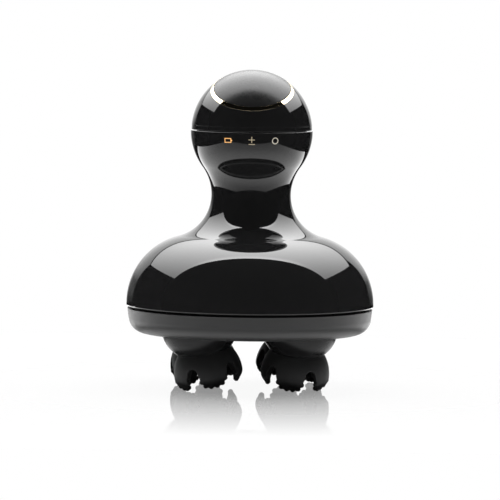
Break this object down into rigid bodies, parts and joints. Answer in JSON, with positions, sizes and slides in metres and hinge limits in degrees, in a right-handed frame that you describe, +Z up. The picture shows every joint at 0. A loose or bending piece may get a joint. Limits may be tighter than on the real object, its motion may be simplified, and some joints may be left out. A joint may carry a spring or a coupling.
{
  "type": "electric scalp massager",
  "caption": "Cordless ball-grip scalp massager: waisted glossy housing over a round base whose tilted, gear-driven claw heads turn and knead; press button on top.",
  "frame": {"origin": "centre of the base on the surface that the claws stand on", "axes": "+Z up through the ball grip, +X to the right seen from the front, front with the indicator icons and the lower edge of the button faces -Y"},
  "size_m": [0.099, 0.099, 0.1272],
  "materials": {
    "shell_gloss": "high gloss black moulded ABS",
    "champagne_gold": "satin champagne gold plating",
    "button_satin": "satin black, soft sheen",
    "grey_silicone": "matte silicone rubber",
    "pcb_green": "solder mask over glass fibre",
    "black_plastic": "moulded black nylon",
    "socket_steel": "plated steel",
    "claw_silicone": "soft matte black silicone",
    "screw_steel": "zinc plated steel",
    "led_white": "phosphor coated LED package",
    "clear_guide": "frosted acrylic",
    "pan_satin": "satin black moulded ABS",
    "chassis_plastic": "glass filled nylon",
    "bush_bronze": "oil filled sintered bronze",
    "shaft_steel": "ground steel",
    "bridge_plate": "sheet aluminium",
    "gearhead_steel": "plated steel gearbox housing",
    "motor_steel": "plated steel motor can",
    "cell_wrap": "shrink sleeve over steel can",
    "lead_insulation": "PVC insulated wire",
    "pinion_brass": "turned brass",
    "gear_acetal": "moulded natural acetal",
    "cup_semi_gloss": "semi-gloss black ABS",
    "clip_steel": "spring steel"
  },
  "bodies": {
    "housing": {"main_housing": "shell_gloss", "top_cover": "shell_gloss", "accent_ring": "champagne_gold", "button_gasket": "grey_silicone", "button_board": "pcb_green", "tact_switch": "black_plastic", "charging_socket": "socket_steel", "main_pcb": "pcb_green", "pcb_screws": "screw_steel", "indicator_leds": "led_white", "light_guide": "clear_guide", "base_pan": "pan_satin", "pan_screws": "screw_steel", "base_seal": "grey_silicone", "chassis_plate": "chassis_plastic", "head_bushes": "bush_bronze", "shaft_seals": "grey_silicone", "drive_axles": "shaft_steel", "motor_bridge": "bridge_plate", "bridge_screws": "screw_steel", "motor_screws": "screw_steel", "gearhead": "gearhead_steel", "motor_can": "motor_steel", "battery_cells": "cell_wrap", "cell_cradles": "chassis_plastic", "motor_leads": "lead_insulation", "battery_leads": "lead_insulation"},
    "button": {"power_button": "button_satin"},
    "flap": {"port_cover": "claw_silicone"},
    "output": {"output_shaft": "shaft_steel", "drive_pinion": "pinion_brass"},
    "drive_left": {"drive_gear_left": "gear_acetal"},
    "drive_right": {"drive_gear_right": "gear_acetal"},
    "head_front_left": {"cup_front_left": "cup_semi_gloss", "claw_front_left": "claw_silicone", "claw_screw_front_left": "screw_steel", "head_shaft_front_left": "shaft_steel", "head_gear_front_left": "gear_acetal", "head_clip_front_left": "clip_steel"},
    "head_front_right": {"cup_front_right": "cup_semi_gloss", "claw_front_right": "claw_silicone", "claw_screw_front_right": "screw_steel", "head_shaft_front_right": "shaft_steel", "head_gear_front_right": "gear_acetal", "head_clip_front_right": "clip_steel"},
    "head_rear_left": {"cup_rear_left": "cup_semi_gloss", "claw_rear_left": "claw_silicone", "claw_screw_rear_left": "screw_steel", "head_shaft_rear_left": "shaft_steel", "head_gear_rear_left": "gear_acetal", "head_clip_rear_left": "clip_steel"},
    "head_rear_right": {"cup_rear_right": "cup_semi_gloss", "claw_rear_right": "claw_silicone", "claw_screw_rear_right": "screw_steel", "head_shaft_rear_right": "shaft_steel", "head_gear_rear_right": "gear_acetal", "head_clip_rear_right": "clip_steel"}
  },
  "joints": [
    {"name": "head_front_left_spin", "type": "hinge", "parent": "housing", "child": "head_front_left", "pos_m": [-0.02005, -0.02005, 0.02719], "axis": [0, 0, 1], "continuous": true},
    {"name": "head_front_right_spin", "type": "hinge", "parent": "housing", "child": "head_front_right", "pos_m": [0.02005, -0.02005, 0.02719], "axis": [0, 0, 1], "continuous": true},
    {"name": "head_rear_left_spin", "type": "hinge", "parent": "housing", "child": "head_rear_left", "pos_m": [-0.02005, 0.02005, 0.02719], "axis": [0, 0, 1], "continuous": true},
    {"name": "head_rear_right_spin", "type": "hinge", "parent": "housing", "child": "head_rear_right", "pos_m": [0.02005, 0.02005, 0.02719], "axis": [0, 0, 1], "continuous": true},
    {"name": "drive_left_spin", "type": "hinge", "parent": "housing", "child": "drive_left", "pos_m": [-0.011, 0, 0.03549], "axis": [0, 0, 1], "continuous": true},
    {"name": "drive_right_spin", "type": "hinge", "parent": "housing", "child": "drive_right", "pos_m": [0.011, 0, 0.03549], "axis": [0, 0, 1], "continuous": true},
    {"name": "output_spin", "type": "hinge", "parent": "housing", "child": "output", "pos_m": [0, 0, 0.04199], "axis": [0, 0, 1], "continuous": true},
    {"name": "button_press", "type": "slide", "parent": "housing", "child": "button", "axis": [0, 0.4384, -0.8988], "range_m": [0, 0.0008], "stiffness_N_per_m": 1500},
    {"name": "port_cover_hinge", "type": "hinge", "parent": "housing", "child": "flap", "pos_m": [0, 0.02145, 0.0932], "axis": [-1, 0, 0], "range_deg": [0, 80]}
  ],
  "couplings": [
    {"joint": "drive_left_spin", "follows": "head_front_left_spin", "ratio": -1},
    {"joint": "head_rear_left_spin", "follows": "head_front_left_spin", "ratio": 1},
    {"joint": "drive_right_spin", "follows": "head_front_left_spin", "ratio": 1},
    {"joint": "head_front_right_spin", "follows": "head_front_left_spin", "ratio": -1},
    {"joint": "head_rear_right_spin", "follows": "head_front_left_spin", "ratio": -1},
    {"joint": "output_spin", "follows": "head_front_left_spin", "ratio": 3.4}
  ]
}
